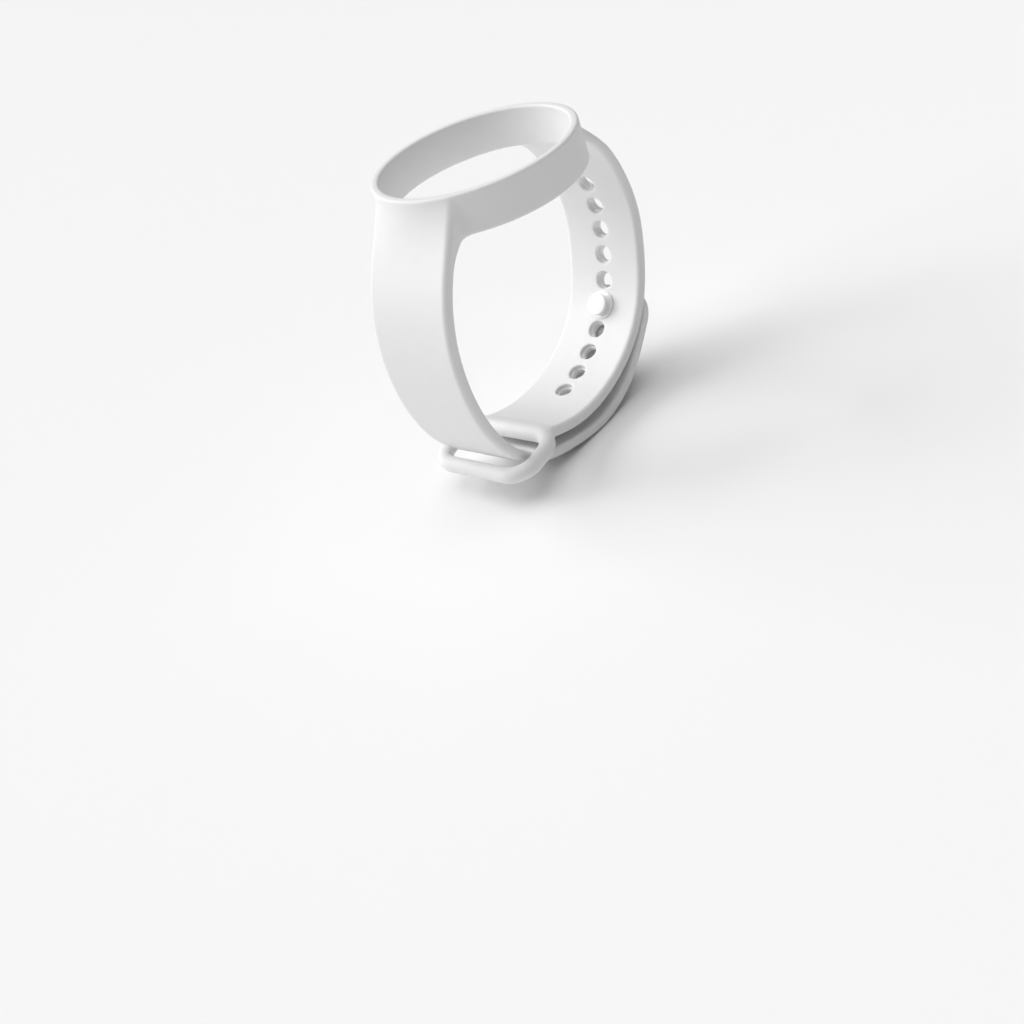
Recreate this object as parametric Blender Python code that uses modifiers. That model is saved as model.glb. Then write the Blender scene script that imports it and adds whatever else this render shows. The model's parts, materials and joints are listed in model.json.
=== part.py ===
"""A soft wristband with an empty round socket, fastened by a stud.

One silicone moulding makes the socket ring, a plain strap, a holed strap and a keeper loop. It is
modelled as the stretches between which it flexes. The plain strap passes through the keeper loop,
its tail laps over the outside of the holed strap, and a hard stud in the tail's tip is pressed
through one of the holes.

Lengths are in millimetres until place() turns them into metres. Section points are (x, z) in the
plane across the wrist, measured from the centre of the ring's top face. Y is the wrist's axis.
"""

import math

import bmesh
import bpy
import numpy as np
from mathutils import Vector

MM = 0.001
GAP = 0.3                     # air between neighbouring solids
CUTTER_OVERLAP = 0.01         # keeps a cutter's face off the face that it would lie on

# The socket ring
SOCKET_RADIUS = 20.0
RING_WALL = 1.75
RING_HEIGHT = 8.5
RIM_ROUNDING = 0.45
RING_STEPS = 64

# Both straps
STRAP_THICKNESS = 2.4
HALF_THICKNESS = STRAP_THICKNESS / 2
EDGE_ROUNDING = 0.7
STATION_PITCH = 2.2           # length of strap between two cross-sections

# The roots, which join the straps to the ring. Points are (distance from the ring's axis, z)
ROOT_LENGTH = 5.0             # strap that is moulded as part of the ring
ROOT_START = 0.8              # station where the root's outline meets the strap's faces
ROOT_INNER_RADIUS = 17.0      # inside the bore, which is cleared again
ROOT_FOOT = 0.6 - RING_HEIGHT
ROOT_HEEL = ((SOCKET_RADIUS + 0.9, ROOT_FOOT - 1.0), (SOCKET_RADIUS + 0.3, ROOT_FOOT))
PLAIN_ROOT_FLARE = ((18.7, -0.6), (20.6, -3.2))
HOLED_ROOT_FLARE = ((19.0, -3.2), (21.6, -5.2))

# The plain strap and its tail, from the ring to where the tail meets the holed strap's outside
PLAIN_CENTRELINE = (
    (-23.0, -8.4), (-26.9, -14.2), (-30.7, -23.0), (-32.1, -32.5), (-30.9, -43.8),
    (-26.9, -53.2), (-19.1, -60.6), (-8.2, -64.4), (3.2, -65.6), (14.1, -62.1),
)
PLAIN_WIDTH = 21.6
PLAIN_WIDTH_AT_LOOP = 20.5    # narrower from here on, to slide through the loop
NARROWING = (44.0, 62.0)      # stations between which the width changes
TAIL_START = 69.0             # along the plain strap's centreline, just past the keeper loop
TAIL_JOINT_PITCH = 15.0
TIP_BEYOND_STUD = 4.6
TIP_CORNER_RADIUS = 7.0
TIP_CORNER_TURNS = (20, 40, 60)   # degrees round the corner where a cross-section stands
LAP_GAP = 0.5                 # air between the tail and the holed strap at the stud
LAP_START = 3.5               # the tail follows the holed strap from this far below the stud

# The holed strap, from the ring to the keeper loop
HOLED_CENTRELINE = (
    (24.2, -9.0), (27.5, -14.8), (30.0, -22.1), (30.8, -29.5), (29.1, -38.5),
    (23.0, -50.5), (13.6, -57.5), (2.0, -60.6), (-7.5, -59.9), (-13.6, -58.0),
)
HOLED_WIDTH = 20.2
STUD_STATION = 44.0           # along the holed strap's centreline
HOLE_PITCH = 5.9
HOLES_ABOVE_STUD = 5
HOLES_BELOW_STUD = 4
HOLE_RADIUS = 1.65
RECESS_RADIUS = 2.05
RECESS_DEPTH = 1.1
CUTTER_REACH = 2.2            # how far a hole's cutter reaches from the strap's middle
CATCH_REACH = 1.5 * HOLE_PITCH   # half the length of the stretch that gives way to the stud

# The keeper loop, a round bar bent to a rectangle
LOOP_BAR_RADIUS = 1.75
LOOP_BASE = (-15.7, -57.5)
LOOP_END = (-28.4, -59.0)
LOOP_HALF_WIDTH = 12.4
LOOP_CORNER_RADIUS = 5.0

# The stud: heights run outwards along its axis, from the middle of the holed strap
POST_RADIUS = HOLE_RADIUS - GAP
BEAD_RADIUS = 3.3
HEAD_RADIUS = 2.6
BEAD_HEIGHT = 0.5
HEAD_HEIGHT = 0.7
HEAD_STANDS = 2.2             # head's face above the strap's inner face
STUD_SOFTENING = 0.2
CAP_RADIUS = 3.6
CAP_HEIGHT = 0.9
CAP_SOCKET_DEPTH = 0.5

# The whole object stands on its lowest point, below the middle of its length
ORIGIN_X = 0.5
ORIGIN_Z = 66.88

PARTS = "soft_wristband"
CUTTERS = "cutters"


def place(x, y, z):
    """The world position, in metres, of a point given from the ring's top centre."""
    return Vector((x + ORIGIN_X, y, z + ORIGIN_Z)) * MM


class Centreline:
    """A smooth line through section points, measured by its length. side is +1 where the line runs
    clockwise round the wrist and -1 where it runs anticlockwise, so that outward() leaves it."""

    SAMPLES_PER_SPAN = 40
    TANGENT_REACH = 0.3       # half the length over which a direction is taken

    def __init__(self, knots, side):
        knots = np.array(knots, float)
        chord = np.concatenate([[0], np.cumsum(np.hypot(*np.diff(knots, axis=0).T))])
        fine = np.linspace(0, chord[-1], self.SAMPLES_PER_SPAN * (len(knots) - 1) + 1)
        self.points = np.stack([natural_spline(chord, column, fine) for column in knots.T], 1)
        steps = np.hypot(*np.diff(self.points, axis=0).T)
        self.lengths = np.concatenate([[0], np.cumsum(steps)])
        self.length = self.lengths[-1]
        self.side = side

    def at(self, station):
        return np.array([np.interp(station, self.lengths, column) for column in self.points.T])

    def along(self, station):
        first = max(station - self.TANGENT_REACH, 0)
        last = min(station + self.TANGENT_REACH, self.length)
        step = self.at(last) - self.at(first)
        return step / np.hypot(*step)

    def outward(self, station):
        x, z = self.along(station)
        return self.side * np.array([-z, x])

    def offset(self, station, distance):
        return self.at(station) + distance * self.outward(station)


def natural_spline(places, values, fine):
    """Values of the natural cubic spline through (places, values) at the fine places."""
    gaps = np.diff(places)
    slopes = np.diff(values) / gaps
    count = len(places)
    system = np.eye(count)
    right = np.zeros(count)
    for i in range(1, count - 1):
        system[i, i - 1:i + 2] = gaps[i - 1], 2 * (gaps[i - 1] + gaps[i]), gaps[i]
        right[i] = 6 * (slopes[i] - slopes[i - 1])
    bends = np.linalg.solve(system, right)
    span = np.clip(np.searchsorted(places, fine, side="right") - 1, 0, count - 2)
    after = fine - places[span]
    before = gaps[span] - after
    curved = (bends[span] * before**3 + bends[span + 1] * after**3) / (6 * gaps[span])
    from_left = (values[span] / gaps[span] - bends[span] * gaps[span] / 6) * before
    from_right = (values[span + 1] / gaps[span] - bends[span + 1] * gaps[span] / 6) * after
    return curved + from_left + from_right


HOLED_LINE = Centreline(HOLED_CENTRELINE, 1)


def lapped(station):
    """A point of the tail's centreline where it lies on the outside of the holed strap."""
    return tuple(HOLED_LINE.offset(station, STRAP_THICKNESS + LAP_GAP))


TAIL_END_STATION = STUD_STATION - TIP_BEYOND_STUD
PLAIN_LINE = Centreline(
    PLAIN_CENTRELINE
    + (lapped(STUD_STATION + LAP_START), lapped(STUD_STATION), lapped(TAIL_END_STATION)),
    -1,
)


def clear_scene():
    for thing in list(bpy.data.objects):
        bpy.data.objects.remove(thing, do_unlink=True)


def new_collection(name):
    collection = bpy.data.collections.new(name)
    bpy.context.scene.collection.children.link(collection)
    return collection


def silicone():
    return material("white_silicone", (0.86, 0.86, 0.87, 1), 0.55)


def glossy_plastic():
    return material("white_gloss_plastic", (0.93, 0.93, 0.93, 1), 0.15)


def material(name, colour, roughness):
    made = bpy.data.materials.get(name) or bpy.data.materials.new(name)
    made.use_nodes = True
    shader = made.node_tree.nodes["Principled BSDF"]
    shader.inputs["Base Color"].default_value = colour
    shader.inputs["Roughness"].default_value = roughness
    shader.inputs["Metallic"].default_value = 0
    return made


def add_object(name, mesh, collection, coat=None):
    thing = bpy.data.objects.new(name, mesh)
    bpy.data.collections[collection].objects.link(thing)
    if coat:
        mesh.materials.append(coat)
    else:
        thing.hide_render = True
        thing.display_type = "WIRE"
    return thing


def add_boolean(thing, operation, cutter):
    modifier = thing.modifiers.new(operation.lower(), "BOOLEAN")
    modifier.operation = operation
    modifier.object = cutter


def add_bevel(thing, width, segments=2):
    modifier = thing.modifiers.new("rounding", "BEVEL")
    modifier.width = width * MM
    modifier.segments = segments
    modifier.limit_method = "ANGLE"
    modifier.angle_limit = math.radians(50)


def turned(name, profile, steps, collection, coat=None):
    """A solid turned about its own Z from (radius, height) points that run down its outer side."""
    mesh = bpy.data.meshes.new(name)
    corners = [(radius * MM, 0, height * MM) for radius, height in profile]
    on_axis = profile[0][0] == 0
    count = len(corners)
    edges = [(i, (i + 1) % count) for i in range(count - 1 if on_axis else count)]
    mesh.from_pydata(corners, edges, [])
    thing = add_object(name, mesh, collection, coat)
    screw = thing.modifiers.new("turn", "SCREW")
    screw.steps = steps
    screw.render_steps = steps
    screw.use_merge_vertices = True
    screw.merge_threshold = 0.00001
    screw.use_smooth_shade = True
    return thing


def rounded_corner(centre, radius, start, segments=3):
    """Points of a quarter circle in (radius, height), turning clockwise from start degrees."""
    angles = [math.radians(start - 90 * i / segments) for i in range(segments + 1)]
    return [(centre[0] + radius * math.cos(a), centre[1] + radius * math.sin(a)) for a in angles]


def half_width_of(line):
    """The half width of a strap at each station of its centreline."""
    if line is HOLED_LINE:
        return lambda station: HOLED_WIDTH / 2

    def half_width(station):
        width = np.interp(station, NARROWING, (PLAIN_WIDTH, PLAIN_WIDTH_AT_LOOP))
        into_corner = station - (line.length - TIP_CORNER_RADIUS)
        if into_corner <= 0:
            return width / 2
        left = TIP_CORNER_RADIUS**2 - min(into_corner, TIP_CORNER_RADIUS)**2
        return width / 2 - TIP_CORNER_RADIUS + math.sqrt(left)

    return half_width


def strap_stretch(name, line, first, last, coat, pivot=(0, 0)):
    """A solid stretch of strap between two stations, with its origin at the section point pivot."""
    half_width = half_width_of(line)
    count = max(int(round((last - first) / STATION_PITCH)), 2)
    stations = list(np.linspace(first, last, count + 1))
    if last > line.length - TIP_CORNER_RADIUS:
        corner_start = line.length - TIP_CORNER_RADIUS
        stations = [s for s in stations if s < corner_start - 1] + [corner_start]
        stations += [corner_start + TIP_CORNER_RADIUS * math.sin(math.radians(turn))
                     for turn in TIP_CORNER_TURNS]
        stations += [line.length]
    origin = place(pivot[0], 0, pivot[1])
    mesh = bpy.data.meshes.new(name)
    corners = []
    for station in stations:
        x, z = line.at(station)
        for y in (-half_width(station), half_width(station)):
            corners.append(place(x, y, z) - origin)
    faces = [(2 * i, 2 * i + 1, 2 * i + 3, 2 * i + 2) for i in range(len(stations) - 1)]
    mesh.from_pydata(corners, [], faces)
    mesh.shade_smooth()
    thing = add_object(name, mesh, PARTS, coat)
    thing.location = origin
    shell = thing.modifiers.new("thickness", "SOLIDIFY")
    shell.thickness = STRAP_THICKNESS * MM
    shell.offset = 0
    shell.use_even_offset = True
    add_bevel(thing, EDGE_ROUNDING)
    return thing


def root_block(name, line, width, flare):
    """A strap's root: it leaves the ring's wall below the rim, and flares out to the strap."""
    stations = np.linspace(ROOT_START, ROOT_LENGTH, 4)
    outer = [line.offset(station, HALF_THICKNESS) for station in stations]
    inner = [line.offset(station, -HALF_THICKNESS) for station in reversed(stations)]
    top = [(line.side * radius, z) for radius, z in ((ROOT_INNER_RADIUS, flare[0][1]), *flare)]
    foot = [(line.side * radius, z) for radius, z in (*ROOT_HEEL, (ROOT_INNER_RADIUS, ROOT_FOOT))]
    outline = top + outer + inner + foot
    curve = bpy.data.curves.new(name, "CURVE")
    curve.dimensions = "2D"
    curve.fill_mode = "BOTH"
    curve.extrude = width / 2 * MM
    spline = curve.splines.new("POLY")
    spline.points.add(len(outline) - 1)
    for point, (x, z) in zip(spline.points, outline):
        point.co = ((x + ORIGIN_X) * MM, (z + ORIGIN_Z) * MM, 0, 1)
    spline.use_cyclic_u = True
    flat = add_object(name, curve, CUTTERS)
    flat.rotation_euler.x = math.pi / 2
    bpy.context.view_layer.update()
    seen = flat.evaluated_get(bpy.context.evaluated_depsgraph_get())
    mesh = bpy.data.meshes.new_from_object(seen)
    mesh.transform(flat.matrix_world)
    bpy.data.objects.remove(flat)
    weld(mesh)
    block = add_object(name, mesh, CUTTERS)
    add_bevel(block, EDGE_ROUNDING)
    return block


def weld(mesh):
    work = bmesh.new()
    work.from_mesh(mesh)
    bmesh.ops.remove_doubles(work, verts=work.verts, dist=0.00001)
    bmesh.ops.recalc_face_normals(work, faces=work.faces)
    work.to_mesh(mesh)
    work.free()


def socket_ring():
    outer = SOCKET_RADIUS + RING_WALL
    low = -RING_HEIGHT
    inset = RIM_ROUNDING
    profile = rounded_corner((SOCKET_RADIUS + inset, -inset), inset, 180)
    profile += rounded_corner((outer - inset, -inset), inset, 90)
    profile += rounded_corner((outer - inset, low + inset), inset, 0)
    profile += rounded_corner((SOCKET_RADIUS + inset, low + inset), inset, -90)
    ring = turned("socket_ring", profile, RING_STEPS, PARTS, silicone())
    ring.location = place(0, 0, 0)
    mid_wall = SOCKET_RADIUS + RING_WALL / 2
    above_rim = 2
    below_foot = ROOT_FOOT - CUTTER_OVERLAP
    inside = turned(
        "ring_inside",
        [(0, above_rim), (mid_wall, above_rim), (mid_wall, below_foot), (0, below_foot)],
        RING_STEPS, CUTTERS,
    )
    inside.location = place(0, 0, 0)
    roots = (
        root_block("plain_root", PLAIN_LINE, PLAIN_WIDTH, PLAIN_ROOT_FLARE),
        root_block("holed_root", HOLED_LINE, HOLED_WIDTH, HOLED_ROOT_FLARE),
    )
    for root in roots:
        add_boolean(root, "DIFFERENCE", inside)
        add_boolean(ring, "UNION", root)
    return ring


def on_strap(thing, station):
    """Stands a turned piece on the holed strap's centreline, with its Z pointing outwards."""
    x, z = HOLED_LINE.at(station)
    out_x, out_z = HOLED_LINE.outward(station)
    thing.location = place(x, 0, z)
    thing.rotation_euler.y = math.atan2(out_x, out_z)


def hole_cutter(name, station, reach=CUTTER_REACH):
    floor = RECESS_DEPTH - HALF_THICKNESS
    profile = [(0, reach), (HOLE_RADIUS, reach), (HOLE_RADIUS, floor), (RECESS_RADIUS, floor),
               (RECESS_RADIUS, -reach), (0, -reach)]
    cutter = turned(name, profile, 20, CUTTERS)
    on_strap(cutter, station)
    return cutter


def hole_stations():
    return [STUD_STATION + HOLE_PITCH * i for i in range(-HOLES_ABOVE_STUD, HOLES_BELOW_STUD + 1)]


def holed_stretch(name, first, last):
    stretch = strap_stretch(name, HOLED_LINE, first, last, silicone())
    for i, station in enumerate(hole_stations()):
        if first < station < last:
            add_boolean(stretch, "DIFFERENCE", hole_cutter(f"hole_{i}", station))
    return stretch


def holed_strap():
    catch_first = STUD_STATION - CATCH_REACH
    catch_last = STUD_STATION + CATCH_REACH
    half_gap = GAP / 2
    holed_stretch("holed_strap_upper", ROOT_LENGTH + GAP, catch_first - half_gap)
    holed_stretch("holed_strap_catch", catch_first + half_gap, catch_last - half_gap)
    holed_stretch("holed_strap_lower", catch_last + half_gap, HOLED_LINE.length - half_gap)


def tail_hinge(station):
    """A flexing line of the tail: just outside its outer face, where it opens without binding."""
    return PLAIN_LINE.offset(station, HALF_THICKNESS + GAP)


def plain_strap_and_tail():
    joints = [TAIL_START + TAIL_JOINT_PITCH * i for i in range(3)]
    strap_stretch("plain_strap", PLAIN_LINE, ROOT_LENGTH + GAP, joints[0] - GAP / 2, silicone())
    ends = joints[1:] + [PLAIN_LINE.length + GAP / 2]
    parent = None
    for name, first, last in zip(("tail_root", "tail_middle", "tail_tip"), joints, ends):
        pivot = add_pivot(f"{name}_pivot", tail_hinge(first), parent)
        segment = strap_stretch(
            name, PLAIN_LINE, first + GAP / 2, last - GAP / 2, silicone(), tail_hinge(first)
        )
        hang(segment, pivot)
        parent = pivot
    post_hole = hole_cutter("tail_hole", STUD_STATION, CUTTER_REACH + 2 * STRAP_THICKNESS)
    add_boolean(segment, "DIFFERENCE", post_hole)
    return parent


def add_pivot(name, point, parent=None):
    pivot = bpy.data.objects.new(name, None)
    bpy.data.collections[PARTS].objects.link(pivot)
    pivot.location = place(point[0], 0, point[1])
    if parent:
        hang(pivot, parent)
    return pivot


def hang(thing, parent):
    """Parents a thing without moving it."""
    bpy.context.view_layer.update()
    thing.parent = parent
    thing.matrix_parent_inverse = parent.matrix_world.inverted()


def stud(pivot):
    """The pin, with its bead and head on the wrist's side, and the cap outside the tail."""
    inner_face = -HALF_THICKNESS
    bead_foot = inner_face - GAP
    bead_top = bead_foot - BEAD_HEIGHT
    head_face = inner_face - HEAD_STANDS
    head_foot = head_face + HEAD_HEIGHT
    tail_face = HALF_THICKNESS + LAP_GAP + STRAP_THICKNESS
    cap_foot = tail_face + GAP
    cap_top = cap_foot + CAP_HEIGHT
    soften = STUD_SOFTENING
    pin_profile = [
        (0, cap_foot + CAP_SOCKET_DEPTH - GAP), (POST_RADIUS, cap_foot + CAP_SOCKET_DEPTH - GAP),
        (POST_RADIUS, bead_foot), (BEAD_RADIUS - soften, bead_foot),
        (BEAD_RADIUS, bead_foot - soften), (BEAD_RADIUS - soften, bead_top),
        (POST_RADIUS, bead_top), (POST_RADIUS, head_foot), (HEAD_RADIUS, head_foot),
        (HEAD_RADIUS, head_face + soften), (HEAD_RADIUS - soften, head_face), (0, head_face),
    ]
    cap_profile = [
        (0, cap_top), (CAP_RADIUS - 2 * soften, cap_top), (CAP_RADIUS, cap_foot + soften),
        (CAP_RADIUS - soften, cap_foot), (HOLE_RADIUS, cap_foot),
        (HOLE_RADIUS, cap_foot + CAP_SOCKET_DEPTH), (0, cap_foot + CAP_SOCKET_DEPTH),
    ]
    for name, profile in (("stud_pin", pin_profile), ("stud_cap", cap_profile)):
        piece = turned(name, profile, 32, PARTS, glossy_plastic())
        on_strap(piece, STUD_STATION)
        hang(piece, pivot)


def keeper_loop():
    """A closed bar round the plain strap, which rocks about its side next to the holed strap."""
    base = np.array(LOOP_BASE)
    reach = np.array(LOOP_END) - base
    length = np.hypot(*reach)
    pivot = add_pivot("keeper_pivot", LOOP_BASE)
    curve = bpy.data.curves.new("keeper_loop", "CURVE")
    curve.dimensions = "3D"
    curve.bevel_depth = LOOP_BAR_RADIUS * MM
    curve.bevel_resolution = 4
    spline = curve.splines.new("POLY")
    corners = []
    radius = LOOP_CORNER_RADIUS
    centres = ((length - radius, LOOP_HALF_WIDTH - radius, 0),
               (radius, LOOP_HALF_WIDTH - radius, 90),
               (radius, radius - LOOP_HALF_WIDTH, 180),
               (length - radius, radius - LOOP_HALF_WIDTH, 270))
    for along, across, start in centres:
        for angle in range(start, start + 91, 15):
            turn = math.radians(angle)
            corners.append((along + radius * math.cos(turn), across + radius * math.sin(turn)))
    spline.points.add(len(corners) - 1)
    direction = reach / length
    for point, (along, across) in zip(spline.points, corners):
        point.co = (along * direction[0] * MM, across * MM, along * direction[1] * MM, 1)
    spline.use_cyclic_u = True
    wire = add_object("keeper_wire", curve, CUTTERS)
    bpy.context.view_layer.update()
    mesh = bpy.data.meshes.new_from_object(
        wire.evaluated_get(bpy.context.evaluated_depsgraph_get()))
    bpy.data.objects.remove(wire)
    weld(mesh)
    mesh.shade_smooth()
    loop = add_object("keeper_loop", mesh, PARTS, silicone())
    loop.location = place(base[0], 0, base[1])
    hang(loop, pivot)


def main():
    clear_scene()
    new_collection(PARTS)
    new_collection(CUTTERS).hide_render = True
    socket_ring()
    holed_strap()
    tip_pivot = plain_strap_and_tail()
    stud(tip_pivot)
    keeper_loop()


main()
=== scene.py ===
"""Looks of the soft wristband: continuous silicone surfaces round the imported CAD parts.

The silicone is shaped by distance fields, in millimetres from the centre of the ring's top face:
a field is negative inside the material. OpenVDB turns each field into a quad mesh.
A place on a strap is given by its station, the length along the strap's centreline from the ring,
and by its height, the distance from that line towards the outside of the band.
"""

import json
import math

import bmesh
import bpy
import numpy as np
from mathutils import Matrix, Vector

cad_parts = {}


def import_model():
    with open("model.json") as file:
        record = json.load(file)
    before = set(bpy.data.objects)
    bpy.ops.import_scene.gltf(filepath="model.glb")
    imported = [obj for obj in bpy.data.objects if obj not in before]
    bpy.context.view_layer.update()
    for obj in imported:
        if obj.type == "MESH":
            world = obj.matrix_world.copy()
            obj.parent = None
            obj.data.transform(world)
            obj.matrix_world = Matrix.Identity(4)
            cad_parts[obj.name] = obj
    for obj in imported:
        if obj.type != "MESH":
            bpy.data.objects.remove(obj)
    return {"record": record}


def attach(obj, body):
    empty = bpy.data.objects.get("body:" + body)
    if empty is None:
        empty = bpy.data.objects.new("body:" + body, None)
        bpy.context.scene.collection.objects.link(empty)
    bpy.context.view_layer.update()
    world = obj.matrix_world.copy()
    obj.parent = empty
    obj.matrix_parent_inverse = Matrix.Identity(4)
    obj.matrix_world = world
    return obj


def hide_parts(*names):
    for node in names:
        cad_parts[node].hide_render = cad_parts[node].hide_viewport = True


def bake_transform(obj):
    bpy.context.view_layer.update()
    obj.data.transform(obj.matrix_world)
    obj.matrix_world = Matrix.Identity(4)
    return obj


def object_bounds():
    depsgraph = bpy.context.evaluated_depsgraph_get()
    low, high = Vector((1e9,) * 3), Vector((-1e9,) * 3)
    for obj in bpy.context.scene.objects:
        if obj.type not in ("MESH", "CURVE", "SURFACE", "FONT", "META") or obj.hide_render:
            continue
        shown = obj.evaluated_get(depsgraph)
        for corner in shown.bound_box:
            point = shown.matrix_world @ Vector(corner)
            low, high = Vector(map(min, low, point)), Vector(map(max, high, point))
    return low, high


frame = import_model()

import openvdb
from mathutils import Matrix, Vector

MM = 0.001
CAD_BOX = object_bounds()

RIM = next(m for m in frame["record"]["mounts"] if m["name"] == "socket_rim_front")["pos_m"]
RING_TOP = Vector((RIM[0], 0, RIM[2]))

# Sizes of the design, in millimetres
SOCKET_RADIUS = 20.0
RING_WALL = 1.75
RING_RADIUS = SOCKET_RADIUS + RING_WALL
RING_HEIGHT = 8.5
RIM_ROUNDING = 0.5
HALF_THICKNESS = 1.2
PLAIN_EDGES = (1.2, 0.6)   # rounding of the edges on the outer and on the wrist's side
HOLED_EDGES = (0.5, 0.95)
ROOT_REACH = 16.0          # how far a strap runs back into the ring
ROOT_LENGTH = 5.0          # a strap is thicker on the wrist's side up to this station
ROOT_SWELL = 0.035         # extra thickness per square millimetre above that station
ROOT_LOFT = 14.0           # depth over which the plain strap's outer face leaves the ring's curve
HOLED_ROOT_TOP = -3.7      # where the holed strap's root starts to slope off, at the bore's radius
HOLED_ROOT_TILT = 45.0     # degrees
HOLED_ROOT_ROUNDING = 1.5

# Fillets, each given by the distance over which two surfaces join
RIM_FILLET = 0.4           # plain strap to ring, at the rim
WALL_FILLET = 2.0          # added to it further down the ring's wall
WALL_FILLET_DEPTH = 6.0    # depth at which all of it is added
WALL_FILLET_FADE = (-11.0, -8.0)   # levels between which it fades out, downwards
HOLED_FILLET = 1.2
LOOP_FILLET = 2.0

# Each strap's centreline as (x, z), from the ring round to its far end
PLAIN_KNOTS = (
    (-23.0, -8.4), (-26.9, -14.2), (-30.7, -23.0), (-32.1, -32.5), (-30.9, -43.8),
    (-26.9, -53.2), (-19.1, -60.6), (-8.2, -64.4), (3.2, -65.6), (14.1, -62.1),
)
HOLED_KNOTS = (
    (24.2, -9.0), (27.5, -14.8), (30.0, -22.1), (30.8, -29.5), (29.1, -38.5),
    (23.0, -50.5), (13.6, -57.5), (2.0, -60.6), (-7.5, -59.9), (-13.6, -58.0),
)
PLAIN_HALF_WIDTH = 10.8
PLAIN_HALF_WIDTH_AT_LOOP = 10.25
NARROWING = (44.0, 62.0)   # stations between which the plain strap's width changes
HOLED_HALF_WIDTH = 10.1
STUD_STATION = 44.0
HOLE_PITCH = 5.9
HOLES_ABOVE_STUD = 5
HOLES_BELOW_STUD = 4
HOLE_RADIUS = 1.65
RECESS_RADIUS = 2.05
RECESS_DEPTH = 1.1
HOLE_ROUNDING = 0.15
LAP = 2.9                  # from the holed strap's middle to the tail's, where the stud joins them
LAP_BEFORE_STUD = 3.5      # how long before the stud the tail starts to lie along the holed strap
TIP_BEYOND_STUD = 4.6
TIP_CORNER = 7.0

# The stud: heights run outwards along its axis
AIR = 0.05                 # between the stud and the silicone that it presses on
POST_RADIUS = 1.3
BEAD_RADIUS = 3.25
BEAD_HEIGHT = 0.45
WAIST_RADIUS = 1.5
HEAD_RADIUS = 2.5
HEAD_HEIGHT = 0.7
HEAD_STANDS = 2.2          # from the strap's inner face to the head's
STUD_SOFTENING = 0.2       # radius of the stud's edges
CAP_RADIUS = 3.6
CAP_HEIGHT = 0.9
CAP_DOME = 0.1
CAP_SOCKET = 0.5
CAP_SOCKET_RADIUS = 1.75

# The loop, with the middles of its inner and outer cross bars as (x, z)
LOOP_BASE = (-15.7, -57.5)
LOOP_END = (-28.4, -59.0)
LOOP_HALF_WIDTH = 12.4
LOOP_CORNER = 5.0
LOOP_BAR = 1.75            # radius of the loop's round bar
NECK_INTO_BAR = 1.0        # how far the strap runs on into the bar

# Where one silicone piece ends and the next begins, along each strap's centreline
PLAIN_SEAM = 56.0
HOLED_SEAMS = (8.0, 74.0)
TAIL_SEAMS = (PLAIN_SEAM, 76.5, 91.5)
SEAM_SPARE = 2.0           # a field runs this far past a seam, and the cut there takes it off
SEAM_REACH = 7.0           # half size of the box round a seam's middle that its cut may touch

# How finely the shapes are worked out
PITCH = 0.25
SHIFT = 0.4                # of a pitch: keeps level and round faces off the sample points
ROOM = 3.0                 # sample points go this far past the boxes that they are asked for
SPLINE_STEPS = 40          # between two knots of a centreline
STATIONS_PER_MM = 4
LOCATE_BATCH = 4000        # places that are compared with a centreline at a time
TURN_STEPS = 96
ON_THE_CUT = 1e-8          # metres
SAME_PLACE = 1e-7          # metres

# The camera, in millimetres as the shapes are, with its lens for a 36 mm wide sensor
CAMERA_PLACE = (-174.59, -186.73, 84.64)
CAMERA_RIGHT = (0.60085, -0.74029, -0.30157)
CAMERA_UP = (0.60407, 0.17343, 0.77783)
CAMERA_LENS = 45.917
SENSOR_WIDTH = 36

# Materials
SILICONE_COLOUR = (0.865, 0.86, 0.865)
SILICONE_DARKER = (0.85, 0.845, 0.852)
SILICONE_LIGHTER = (0.88, 0.875, 0.88)
STUD_COLOUR = (0.9, 0.9, 0.9)
FLOOR_COLOUR = (0.93, 0.93, 0.93)
NOISE_RANGE = (0.3, 0.7)   # nearly all of a noise texture's values lie between these

# The floor, in metres
FLOOR_HALF_SIZE = 3.0
FLOOR_GAP = 0.0001


def world(x, y, z):
    """The place in the frame, in metres, of a point in millimetres from the ring's top centre."""
    return RING_TOP + Vector((x, y, z)) * MM


def natural_spline(places, values, fine):
    """A natural cubic spline through the values at their places, read at other, finer places."""
    gaps = np.diff(places)
    slopes = np.diff(values) / gaps
    count = len(places)
    system = np.eye(count)
    right = np.zeros(count)
    for i in range(1, count - 1):
        system[i, i - 1:i + 2] = gaps[i - 1], 2 * (gaps[i - 1] + gaps[i]), gaps[i]
        right[i] = 6 * (slopes[i] - slopes[i - 1])
    bends = np.linalg.solve(system, right)
    span = np.clip(np.searchsorted(places, fine, side="right") - 1, 0, count - 2)
    after = fine - places[span]
    before = gaps[span] - after
    curved = (bends[span] * before**3 + bends[span + 1] * after**3) / (6 * gaps[span])
    from_left = (values[span] / gaps[span] - bends[span] * gaps[span] / 6) * before
    from_right = (values[span + 1] / gaps[span] - bends[span + 1] * gaps[span] / 6) * after
    return curved + from_left + from_right


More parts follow.
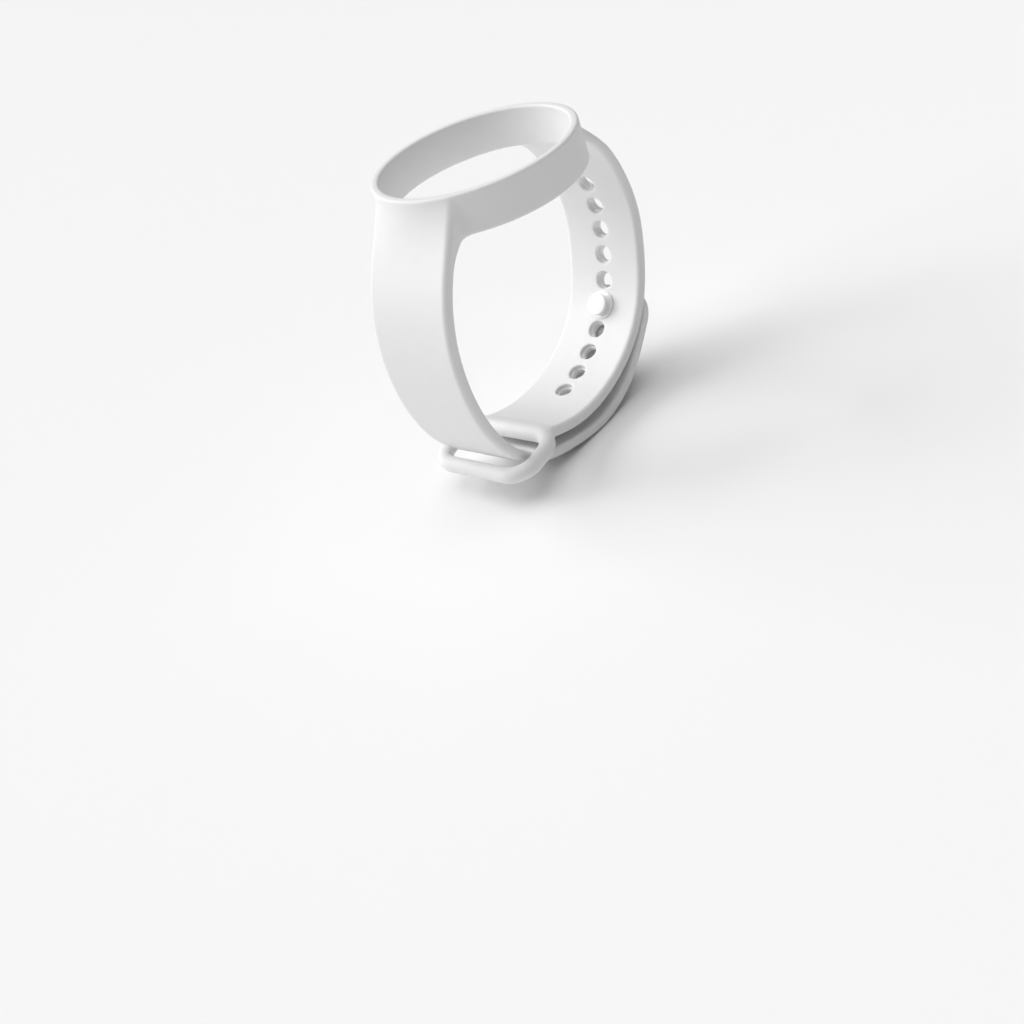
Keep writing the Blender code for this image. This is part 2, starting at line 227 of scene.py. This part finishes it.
class Centreline:
    """A strap's centreline in the plane across the wrist, measured by its length. Its side is 1
    where the outside of the band lies to the left of the line, and -1 where it lies to the right."""

    def __init__(self, knots, side):
        knots = np.array(knots, float)
        chord = np.concatenate([[0], np.cumsum(np.hypot(*np.diff(knots, axis=0).T))])
        fine = np.linspace(0, chord[-1], SPLINE_STEPS * (len(knots) - 1) + 1)
        points = np.stack([natural_spline(chord, column, fine) for column in knots.T], 1)
        lengths = np.concatenate([[0], np.cumsum(np.hypot(*np.diff(points, axis=0).T))])
        self.length = lengths[-1]
        self.side = side
        self.stations = np.linspace(0, self.length, int(self.length * STATIONS_PER_MM) + 1)
        self.points = np.stack([np.interp(self.stations, lengths, c) for c in points.T], 1)
        steps = np.gradient(self.points, axis=0)
        self.tangents = steps / np.hypot(*steps.T)[:, None]

    def at(self, station):
        """The point (x, z) at a station."""
        return np.array([np.interp(station, self.stations, c) for c in self.points.T])

    def along(self, station):
        """The line's direction at a station."""
        found = np.array([np.interp(station, self.stations, c) for c in self.tangents.T])
        return found / np.hypot(*found)

    def outward(self, station):
        """The direction square to the line, away from the wrist."""
        x, z = self.along(station)
        return self.side * np.array([-z, x])

    def offset(self, station, distance):
        """The point at a distance outwards from the line."""
        return self.at(station) + distance * self.outward(station)

    def place(self, station):
        """The point at a station, in the frame's metres."""
        x, z = self.at(station)
        return world(x, 0, z)

    def box(self, first, last, half_width):
        """Lowest and highest corners of the strap's middle surface between two stations."""
        x, z = self.points[(self.stations >= first) & (self.stations <= last)].T
        return (x.min(), -half_width, z.min()), (x.max(), half_width, z.max())

    def locate(self, x, z):
        """The station and the outward height of every point of a grid, given as columns and rows.
        Beyond both ends the centreline runs on straight."""
        shape = np.broadcast(x, z).shape
        flat = np.stack([np.broadcast_to(x, shape).ravel(), np.broadcast_to(z, shape).ravel()], 1)
        station = np.empty(len(flat))
        height = np.empty(len(flat))
        for start in range(0, len(flat), LOCATE_BATCH):
            batch = slice(start, start + LOCATE_BATCH)
            part = flat[batch]
            gaps = part[:, None, :] - self.points[None]
            nearest = np.argmin((gaps**2).sum(2), axis=1)
            gap = part - self.points[nearest]
            tangent = self.tangents[nearest]
            station[batch] = self.stations[nearest] + (gap * tangent).sum(1)
            height[batch] = self.side * (gap[:, 1] * tangent[:, 0] - gap[:, 0] * tangent[:, 1])
        return station.reshape(shape), height.reshape(shape)


HOLED = Centreline(HOLED_KNOTS, 1)
LAP_STATIONS = (STUD_STATION + LAP_BEFORE_STUD, STUD_STATION, STUD_STATION - TIP_BEYOND_STUD)
LAP_KNOTS = tuple(tuple(HOLED.offset(station, LAP)) for station in LAP_STATIONS)
PLAIN = Centreline(PLAIN_KNOTS + LAP_KNOTS, -1)


class Lattice:
    """Sample points round one or more boxes. Every lattice takes them from the same endless grid,
    so that the surfaces of neighbouring pieces agree."""

    def __init__(self, *boxes):
        low = np.min([box[0] for box in boxes], axis=0) - ROOM
        high = np.max([box[1] for box in boxes], axis=0) + ROOM
        self.first = np.floor(low / PITCH).astype(int)
        last = np.ceil(high / PITCH).astype(int)
        x, y, z = ((np.arange(a, b + 1) + SHIFT) * PITCH for a, b in zip(self.first, last))
        self.x = x[:, None, None]
        self.y = y[None, :, None]
        self.z = z[None, None, :]

    def strap(self, line):
        """The station and height of every sample point, which are the same all across a strap."""
        station, height = line.locate(self.x[:, 0], self.z[0])
        return station[:, None, :], height[:, None, :]


def round_corner(a, b, radius):
    """The overlap of two solids, with the edge where they meet rounded."""
    over_a = np.maximum(a + radius, 0)
    over_b = np.maximum(b + radius, 0)
    return np.minimum(np.maximum(a, b) + radius, 0) + np.sqrt(over_a**2 + over_b**2) - radius


def smooth_join(a, b, reach):
    """Both solids in one, with a fillet in the corner between them, which the reach sets."""
    share = np.clip(0.5 + 0.5 * (b - a) / reach, 0, 1)
    return b * (1 - share) + a * share - reach * share * (1 - share)


def ring_field(grid):
    """The ring's outer wall and lower edge. trim_ring makes its bore and its rim."""
    radius = np.sqrt(grid.x**2 + grid.y**2)
    spare = 3.0               # material that trim_ring takes away again
    wall = np.maximum(radius - RING_RADIUS, SOCKET_RADIUS - spare - radius)
    height = np.maximum(-RING_HEIGHT - grid.z, grid.z - spare)
    return round_corner(wall, height, RIM_ROUNDING)


def trim_ring(grid, field):
    """Cuts the bore through the ring and its straps' roots, and levels the rim."""
    radius = np.sqrt(grid.x**2 + grid.y**2)
    clear = 6.0               # how far under the ring the bore still clears the roots
    bore = np.maximum(radius - SOCKET_RADIUS, -RING_HEIGHT - clear - grid.z)
    field = round_corner(field, grid.z, RIM_ROUNDING)
    return round_corner(field, -bore, RIM_ROUNDING)


def strap_field(grid, line, half_width, last, edges, corner=0.0, loft=0.0):
    """A strap with rounded edges, thicker towards its root, and cut off round at its last station."""
    station, height = grid.strap(line)
    swell = ROOT_SWELL * np.maximum(ROOT_LENGTH - station, 0)**2
    outer_face = height - HALF_THICKNESS - loft
    inner_face = -height - HALF_THICKNESS - swell
    outline = round_corner(station - last, np.abs(grid.y) - half_width(station), corner)
    outline = np.maximum(outline, -ROOT_REACH - station)
    return np.maximum(round_corner(outline, outer_face, edges[0]),
                      round_corner(outline, inner_face, edges[1]))


def plain_half_width(station):
    """Full width round the wrist, then narrower just ahead of the loop, so that it slides through."""
    start, end = NARROWING
    share = np.clip((station - start) / (end - start), 0, 1)
    smooth = share**2 * (3 - 2 * share)
    return PLAIN_HALF_WIDTH + (PLAIN_HALF_WIDTH_AT_LOOP - PLAIN_HALF_WIDTH) * smooth


def holed_half_width(station):
    """The same width all along."""
    return np.full_like(station, HOLED_HALF_WIDTH)


def holed_field(grid, last):
    """The holed strap, with a wider recess on the wrist's side of each hole."""
    field = strap_field(grid, HOLED, holed_half_width, last, HOLED_EDGES)
    station, height = grid.strap(HOLED)
    for i in range(-HOLES_ABOVE_STUD, HOLES_BELOW_STUD + 1):
        radius = np.sqrt((station - STUD_STATION - i * HOLE_PITCH)**2 + grid.y**2)
        recess = np.maximum(radius - RECESS_RADIUS, height + HALF_THICKNESS - RECESS_DEPTH)
        hole = np.minimum(radius - HOLE_RADIUS, recess)
        field = round_corner(field, -hole, HOLE_ROUNDING)
    return field


def mesh_of(name, grid, field):
    """The surface where the field is nought, as a quad mesh in metres."""
    far_outside = 10 * PITCH
    volume = openvdb.FloatGrid(far_outside)
    volume.copyFromArray(field.astype(np.float32))
    points, quads = volume.convertToQuads(0.0)
    points = (points + grid.first + SHIFT) * PITCH * MM + np.array(RING_TOP)
    mesh = bpy.data.meshes.new(name)
    mesh.vertices.add(len(points))
    mesh.vertices.foreach_set("co", points.astype(np.float32).ravel())
    mesh.loops.add(len(quads) * 4)
    mesh.loops.foreach_set("vertex_index", quads[:, ::-1].astype(np.int32).ravel())
    mesh.polygons.add(len(quads))
    mesh.polygons.foreach_set("loop_start", np.arange(0, len(quads) * 4, 4, dtype=np.int32))
    mesh.update(calc_edges=True)
    mesh.validate()
    mesh.shade_smooth()
    return mesh


def cut_off(mesh, line, station, keep_before):
    """Cuts a strap straight across at a station and closes it. Only faces near the cut are touched."""
    along_x, along_z = line.along(station)
    point = line.place(station)
    normal = Vector((along_x, 0, along_z))
    if not keep_before:
        normal = -normal
    work = bmesh.new()
    work.from_mesh(mesh)
    near = [v for v in work.verts if abs((v.co - point).x) < SEAM_REACH * MM
            and abs((v.co - point).z) < SEAM_REACH * MM]
    edges = {e for v in near for e in v.link_edges}
    faces = {f for v in near for f in v.link_faces}
    bmesh.ops.bisect_plane(work, geom=list(near) + list(edges) + list(faces), dist=ON_THE_CUT,
                           plane_co=point, plane_no=normal, clear_outer=True)
    rim = [e for e in work.edges if e.is_boundary]
    bmesh.ops.holes_fill(work, edges=rim, sides=0)
    for edge in rim:
        edge.smooth = False
    work.to_mesh(mesh)
    work.free()


def add_piece(name, mesh, coat, replaced):
    """A visible piece with its material, which stands for the CAD nodes in replaced."""
    piece = bpy.data.objects.new(name, mesh)
    bpy.context.scene.collection.objects.link(piece)
    mesh.materials.clear()
    mesh.materials.append(coat)
    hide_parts(*replaced)
    return piece


def plain_root_loft(grid):
    """How far the plain strap's outer face bulges near the ring, to start on the rim's curve."""
    edge = math.sqrt(RING_RADIUS**2 - PLAIN_HALF_WIDTH**2)
    bulge = np.sqrt(np.maximum(RING_RADIUS**2 - grid.y**2, edge**2)) - edge
    lean = abs(PLAIN.outward(0.0)[0])
    return lean * bulge * np.clip(1 + grid.z / ROOT_LOFT, 0, 1)**2


def plain_root_fillet(grid):
    """Joining distance: small at the rim, wider down the ring's wall, small again below the ring."""
    fade_end, fade_start = WALL_FILLET_FADE
    widening = np.clip(-grid.z / WALL_FILLET_DEPTH, 0, 1)
    fading = np.clip((grid.z - fade_end) / (fade_start - fade_end), 0, 1)
    return RIM_FILLET + WALL_FILLET * widening * fading


def holed_root_field(grid, last):
    """The holed strap's first stretch, whose upper end slopes down away from the ring."""
    field = strap_field(grid, HOLED, holed_half_width, last, HOLED_EDGES)
    tilt = math.radians(HOLED_ROOT_TILT)
    top = (grid.z - HOLED_ROOT_TOP) * math.cos(tilt) + (grid.x - SOCKET_RADIUS) * math.sin(tilt)
    return round_corner(field, top, HOLED_ROOT_ROUNDING)


def socket_and_plain_strap(coat):
    """The ring, both straps' roots, and the plain strap down to its seam above the loop."""
    plain_end = PLAIN_SEAM + SEAM_SPARE
    root_end = HOLED_SEAMS[0] + SEAM_SPARE
    ring_box = ((-RING_RADIUS, -RING_RADIUS, -RING_HEIGHT), (RING_RADIUS, RING_RADIUS, 0))
    grid = Lattice(ring_box, PLAIN.box(0, plain_end, PLAIN_HALF_WIDTH),
                   HOLED.box(0, root_end, HOLED_HALF_WIDTH))
    strap = strap_field(grid, PLAIN, plain_half_width, plain_end, PLAIN_EDGES,
                        loft=plain_root_loft(grid))
    field = smooth_join(ring_field(grid), strap, plain_root_fillet(grid))
    field = smooth_join(field, holed_root_field(grid, root_end), HOLED_FILLET)
    mesh = mesh_of("socket_and_plain_strap", grid, trim_ring(grid, field))
    cut_off(mesh, PLAIN, PLAIN_SEAM, True)
    cut_off(mesh, HOLED, HOLED_SEAMS[0], True)
    piece = add_piece(mesh.name, mesh, coat, ["socket_ring", "plain_strap"])
    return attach(piece, "band")


def holed_strap(coat):
    """The holed strap between its seams, with all its holes."""
    first, last = HOLED_SEAMS
    grid = Lattice(HOLED.box(first - SEAM_SPARE, last + SEAM_SPARE, HOLED_HALF_WIDTH))
    field = holed_field(grid, last + SEAM_SPARE)
    station, _ = grid.strap(HOLED)
    field = np.maximum(field, first - SEAM_SPARE - station)
    mesh = mesh_of("holed_strap", grid, field)
    cut_off(mesh, HOLED, first, False)
    cut_off(mesh, HOLED, last, True)
    piece = add_piece(mesh.name, mesh, coat,
                      ["holed_strap_upper", "holed_strap_catch"])
    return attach(piece, "band")


def loop_field(grid):
    """A round bar bent to a rectangle with round corners, in the plane from its base to its end."""
    base = np.array(LOOP_BASE)
    reach = np.array(LOOP_END) - base
    length = np.hypot(*reach)
    direction = reach / length
    x = grid.x - base[0]
    z = grid.z - base[1]
    along = x * direction[0] + z * direction[1] - length / 2
    off_plane = z * direction[0] - x * direction[1]
    outline = round_corner(np.abs(along) - length / 2, np.abs(grid.y) - LOOP_HALF_WIDTH, LOOP_CORNER)
    return np.sqrt(outline**2 + off_plane**2) - LOOP_BAR


def keeper_loop(coat):
    """The loop and the end of the holed strap that it is moulded on."""
    first = HOLED_SEAMS[1]
    loop_box = ((LOOP_END[0], -LOOP_HALF_WIDTH, LOOP_END[1]),
                (LOOP_BASE[0], LOOP_HALF_WIDTH, LOOP_BASE[1]))
    grid = Lattice(loop_box, HOLED.box(first - SEAM_SPARE, HOLED.length, HOLED_HALF_WIDTH))
    strap = strap_field(grid, HOLED, holed_half_width, HOLED.length + NECK_INTO_BAR, HOLED_EDGES)
    station, _ = grid.strap(HOLED)
    strap = np.maximum(strap, first - SEAM_SPARE - station)
    mesh = mesh_of("keeper_loop_and_neck", grid, smooth_join(strap, loop_field(grid), LOOP_FILLET))
    cut_off(mesh, HOLED, first, False)
    piece = add_piece(mesh.name, mesh, coat, ["keeper_loop", "holed_strap_lower"])
    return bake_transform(piece)


def tail_piece(name, first, last, replaced, coat):
    """A stretch of tail between two stations, cut off at its seams; the last stretch ends in the
    rounded tip with the post's hole.
    """
    tip = last >= PLAIN.length
    field_end = last if tip else last + SEAM_SPARE
    grid = Lattice(PLAIN.box(first - SEAM_SPARE, field_end, PLAIN_HALF_WIDTH))
    field = strap_field(grid, PLAIN, plain_half_width, field_end, PLAIN_EDGES,
                        corner=TIP_CORNER if tip else 0.0)
    station, _ = grid.strap(PLAIN)
    field = np.maximum(field, first - SEAM_SPARE - station)
    if tip:
        stud = PLAIN.length - TIP_BEYOND_STUD
        hole = np.sqrt((station - stud)**2 + grid.y**2) - POST_RADIUS
        field = round_corner(field, -hole, HOLE_ROUNDING)
    mesh = mesh_of(name, grid, field)
    cut_off(mesh, PLAIN, first, False)
    if not tip:
        cut_off(mesh, PLAIN, last, True)
    piece = add_piece(name, mesh, coat, replaced)
    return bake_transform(piece)


def tail(coat):
    """The three stretches of tail, each cut off at its seams."""
    first, second, third = TAIL_SEAMS
    tail_piece("tail_at_loop", first, second,
               ["tail_root"], coat)
    tail_piece("tail_centre", second, third,
               ["tail_middle"], coat)
    tail_piece("tail_end", third, PLAIN.length,
               ["tail_tip"], coat)


def arc(centre, radius, start, end, count=6):
    """Points of an arc in (radius, height), from start to end degrees."""
    angles = np.radians(np.linspace(start, end, count))
    return [(centre[0] + radius * math.cos(a), centre[1] + radius * math.sin(a)) for a in angles]


def turned(name, profile, coat, replaced):
    """A piece turned about the stud's axis. Heights run outwards from the holed strap's middle."""
    work = bmesh.new()
    ring = [work.verts.new((r * MM, 0, h * MM)) for r, h in profile]
    edges = [work.edges.new(pair) for pair in zip(ring, ring[1:])]
    bmesh.ops.spin(work, geom=ring + edges, cent=(0, 0, 0), axis=(0, 0, 1),
                   angle=2 * math.pi, steps=TURN_STEPS, use_merge=True)
    bmesh.ops.remove_doubles(work, verts=work.verts, dist=SAME_PLACE)
    bmesh.ops.recalc_face_normals(work, faces=work.faces)
    mesh = bpy.data.meshes.new(name)
    work.to_mesh(mesh)
    work.free()
    out_x, out_z = HOLED.outward(STUD_STATION)
    turn = Matrix.Rotation(math.atan2(out_x, out_z), 4, "Y")
    mesh.transform(Matrix.Translation(HOLED.place(STUD_STATION)) @ turn)
    mesh.shade_smooth()
    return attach(add_piece(name, mesh, coat, replaced), "tail_tip")


def stud_pin(coat):
    """A post through the tail and the hole, with a bead, a waist and a head on the wrist's side."""
    foot = -HALF_THICKNESS - AIR
    bead = foot - BEAD_HEIGHT
    head = -HALF_THICKNESS - HEAD_STANDS
    under_head = head + HEAD_HEIGHT
    post_end = LAP + HALF_THICKNESS + CAP_SOCKET
    soft = STUD_SOFTENING
    waist = WAIST_RADIUS + soft
    profile = [(0, post_end), (POST_RADIUS, post_end), (POST_RADIUS, foot)]
    profile += arc((BEAD_RADIUS - soft, foot - soft), soft, 90, 0)
    profile += arc((BEAD_RADIUS - soft, bead + soft), soft, 0, -90)
    profile += arc((waist, bead - soft), soft, 90, 180)
    profile += arc((waist, under_head + soft), soft, 180, 270)
    profile += arc((HEAD_RADIUS - soft, under_head - soft), soft, 90, 0)
    profile += arc((HEAD_RADIUS - soft, head + soft), soft, 0, -90)
    profile += [(0, head)]
    turned("stud_pin_turned", profile, coat, ["stud_pin"])


def stud_cap(coat):
    """A slightly domed disc outside the tail, with a shallow socket round the post's end."""
    foot = LAP + HALF_THICKNESS + AIR
    top = foot + CAP_HEIGHT
    crown = CAP_HEIGHT / 2
    profile = [(radius, top + CAP_DOME * (1 - (radius / CAP_RADIUS)**2))
               for radius in (0, CAP_RADIUS / 2)]
    meets_dome = 80           # degrees
    profile += arc((CAP_RADIUS - crown, top - crown), crown, meets_dome, 0)
    profile += [(CAP_RADIUS - AIR, foot), (CAP_SOCKET_RADIUS, foot),
                (CAP_SOCKET_RADIUS, foot + CAP_SOCKET), (0, foot + CAP_SOCKET)]
    turned("stud_cap_turned", profile, coat, ["stud_cap"])


def new_material(name, colour, roughness, ior):
    """A material, with its node tree and its shader."""
    coat = bpy.data.materials.new(name)
    coat.use_nodes = True
    shader = coat.node_tree.nodes["Principled BSDF"]
    shader.inputs["Base Color"].default_value = (*colour, 1)
    shader.inputs["Roughness"].default_value = roughness
    shader.inputs["IOR"].default_value = ior
    return coat, coat.node_tree, shader


def noise_node(tree, scale, detail):
    """A noise texture fixed to the object. Its scale is in cells per metre."""
    place = tree.nodes.new("ShaderNodeTexCoord")
    noise = tree.nodes.new("ShaderNodeTexNoise")
    noise.inputs["Scale"].default_value = scale
    noise.inputs["Detail"].default_value = detail
    tree.links.new(place.outputs["Object"], noise.inputs["Vector"])
    return noise


def ranged(tree, source, low, high):
    """The noise from source, brought into the range from low to high."""
    scale = tree.nodes.new("ShaderNodeMapRange")
    scale.inputs["From Min"].default_value = NOISE_RANGE[0]
    scale.inputs["From Max"].default_value = NOISE_RANGE[1]
    scale.inputs["To Min"].default_value = low
    scale.inputs["To Max"].default_value = high
    tree.links.new(source, scale.inputs["Value"])
    return scale.outputs["Result"]


def silicone():
    """Satin moulded silicone: a very fine grain, and faint cloudiness in colour and gloss."""
    coat, tree, shader = new_material("white_silicone", SILICONE_COLOUR, roughness=0.5, ior=1.42)
    clouds = noise_node(tree, scale=260, detail=3)
    mix = tree.nodes.new("ShaderNodeMix")
    mix.data_type = "RGBA"
    mix.inputs["A"].default_value = (*SILICONE_DARKER, 1)
    mix.inputs["B"].default_value = (*SILICONE_LIGHTER, 1)
    tree.links.new(clouds.outputs["Fac"], mix.inputs["Factor"])
    tree.links.new(mix.outputs["Result"], shader.inputs["Base Color"])
    grain = noise_node(tree, scale=5200, detail=2)
    roughness = ranged(tree, grain.outputs["Fac"], low=0.46, high=0.6)
    tree.links.new(roughness, shader.inputs["Roughness"])
    bump = tree.nodes.new("ShaderNodeBump")
    bump.inputs["Strength"].default_value = 0.25
    bump.inputs["Distance"].default_value = 0.00006
    tree.links.new(grain.outputs["Fac"], bump.inputs["Height"])
    tree.links.new(bump.outputs["Normal"], shader.inputs["Normal"])
    shader.inputs["Sheen Weight"].default_value = 0.08
    shader.inputs["Sheen Roughness"].default_value = 0.4
    return coat


def glossy_plastic():
    """Hard white plastic with a polished face and the faintest haze."""
    coat, tree, shader = new_material("white_gloss_plastic", STUD_COLOUR, roughness=0.12, ior=1.5)
    haze = noise_node(tree, scale=900, detail=2)
    roughness = ranged(tree, haze.outputs["Fac"], low=0.1, high=0.16)
    tree.links.new(roughness, shader.inputs["Roughness"])
    shader.inputs["Coat Weight"].default_value = 0.4
    shader.inputs["Coat Roughness"].default_value = 0.05
    return coat


def camera():
    """Looks down at the ring and the plain strap, from a quarter view."""
    data = bpy.data.cameras.new("camera")
    data.sensor_width = SENSOR_WIDTH
    data.lens = CAMERA_LENS
    data.clip_start = 0.01
    view = bpy.data.objects.new("camera", data)
    bpy.context.scene.collection.objects.link(view)
    right = Vector(CAMERA_RIGHT)
    up = Vector(CAMERA_UP)
    back = right.cross(up)
    place = Matrix((right, up, back)).transposed().to_4x4()
    place.translation = world(*CAMERA_PLACE)
    view.matrix_world = place
    bpy.context.scene.camera = view


def floor():
    """A wide pale sheet just below the band."""
    mesh = bpy.data.meshes.new("floor")
    work = bmesh.new()
    bmesh.ops.create_grid(work, x_segments=1, y_segments=1, size=FLOOR_HALF_SIZE)
    work.to_mesh(mesh)
    work.free()
    plane = bpy.data.objects.new("floor", mesh)
    bpy.context.scene.collection.objects.link(plane)
    plane.location.z = CAD_BOX[0].z - FLOOR_GAP
    coat, _, _ = new_material("pale_floor", FLOOR_COLOUR, roughness=0.9, ior=1.3)
    mesh.materials.append(coat)


def sun(name, source, spread, strength):
    """A soft distant light that comes from the direction of its source. Its spread is in degrees."""
    data = bpy.data.lights.new(name, "SUN")
    data.angle = math.radians(spread)
    data.energy = strength
    lamp = bpy.data.objects.new(name, data)
    bpy.context.scene.collection.objects.link(lamp)
    lamp.rotation_euler = Vector(source).to_track_quat("Z", "Y").to_euler()


def lights():
    """Mostly from behind and above, so that the faces towards the camera stay a little darker."""
    sun("back", (-0.3, 1.0, 0.65), spread=45, strength=1.72)
    sun("back_left", (-0.8, 0.8, 0.7), spread=38, strength=0.8)
    sun("top", (0.0, 0.0, 1.0), spread=60, strength=1.65)
    sun("front_fill", (-0.6, -0.7, 0.6), spread=30, strength=0.15)
    surroundings = bpy.data.worlds.new("world")
    surroundings.use_nodes = True
    background = surroundings.node_tree.nodes["Background"]
    background.inputs["Color"].default_value = (1, 1, 1, 1)
    background.inputs["Strength"].default_value = 0.02
    bpy.context.scene.world = surroundings
    bpy.context.scene.view_settings.view_transform = "Standard"


def main():
    camera()
    floor()
    lights()
    rubber = silicone()
    socket_and_plain_strap(rubber)
    holed_strap(rubber)
    keeper_loop(rubber)
    tail(rubber)
    gloss = glossy_plastic()
    stud_pin(gloss)
    stud_cap(gloss)


main()
